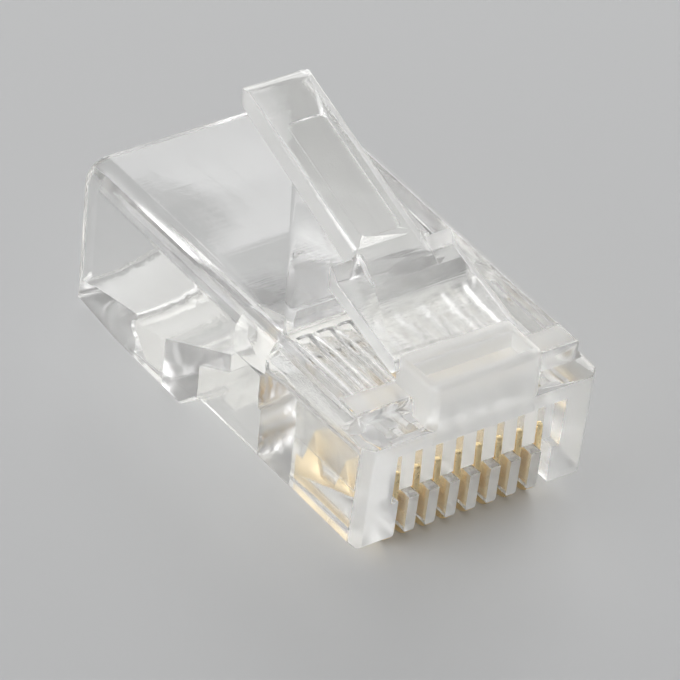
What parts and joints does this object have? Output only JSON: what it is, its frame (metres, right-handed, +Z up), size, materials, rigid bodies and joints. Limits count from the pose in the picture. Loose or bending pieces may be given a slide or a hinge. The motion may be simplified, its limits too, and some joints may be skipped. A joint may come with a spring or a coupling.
{
  "type": "rj45 modular plug",
  "caption": "Clear modular plug for round data cable, with gold-plated contact blades, a sprung top latch and fold-in cable clamps, as supplied before crimping.",
  "frame": {"origin": "middle of the footprint, on the surface that the plug lies on with its latch upwards", "axes": "+X across the plug, +Y from the nose towards the cable entry, +Z up towards the latch"},
  "size_m": [0.0116, 0.0214, 0.0128],
  "materials": {
    "clear_plastic": "polished clear moulding",
    "gold_contact": "bright gold plate over copper alloy"
  },
  "bodies": {
    "housing": {"housing": "clear_plastic"},
    "latch": {"latch": "clear_plastic"},
    "jacket_clamp": {"jacket_clamp": "clear_plastic"},
    "wire_clamp": {"wire_clamp": "clear_plastic"},
    "contact_1": {"contact_1": "gold_contact"},
    "contact_2": {"contact_2": "gold_contact"},
    "contact_3": {"contact_3": "gold_contact"},
    "contact_4": {"contact_4": "gold_contact"},
    "contact_5": {"contact_5": "gold_contact"},
    "contact_6": {"contact_6": "gold_contact"},
    "contact_7": {"contact_7": "gold_contact"},
    "contact_8": {"contact_8": "gold_contact"}
  },
  "joints": [
    {"name": "latch_press", "type": "hinge", "parent": "housing", "child": "latch", "pos_m": [0, -0.00798, 0.0079], "axis": [-1, 0, 0], "range_deg": [0, 14], "stiffness_Nm_per_rad": 0.06},
    {"name": "jacket_clamp_fold", "type": "hinge", "parent": "housing", "child": "jacket_clamp", "pos_m": [0, 0.00657, 0.00115], "axis": [-1, 0, 0], "range_deg": [0, 30]},
    {"name": "wire_clamp_press", "type": "slide", "parent": "housing", "child": "wire_clamp", "axis": [0, 0, 1], "range_m": [0, 0.0009]},
    {"name": "contact_1_crimp", "type": "slide", "parent": "housing", "child": "contact_1", "axis": [0, 0, 1], "range_m": [0, 0.00145]},
    {"name": "contact_2_crimp", "type": "slide", "parent": "housing", "child": "contact_2", "axis": [0, 0, 1], "range_m": [0, 0.00145]},
    {"name": "contact_3_crimp", "type": "slide", "parent": "housing", "child": "contact_3", "axis": [0, 0, 1], "range_m": [0, 0.00145]},
    {"name": "contact_4_crimp", "type": "slide", "parent": "housing", "child": "contact_4", "axis": [0, 0, 1], "range_m": [0, 0.00145]},
    {"name": "contact_5_crimp", "type": "slide", "parent": "housing", "child": "contact_5", "axis": [0, 0, 1], "range_m": [0, 0.00145]},
    {"name": "contact_6_crimp", "type": "slide", "parent": "housing", "child": "contact_6", "axis": [0, 0, 1], "range_m": [0, 0.00145]},
    {"name": "contact_7_crimp", "type": "slide", "parent": "housing", "child": "contact_7", "axis": [0, 0, 1], "range_m": [0, 0.00145]},
    {"name": "contact_8_crimp", "type": "slide", "parent": "housing", "child": "contact_8", "axis": [0, 0, 1], "range_m": [0, 0.00145]}
  ]
}
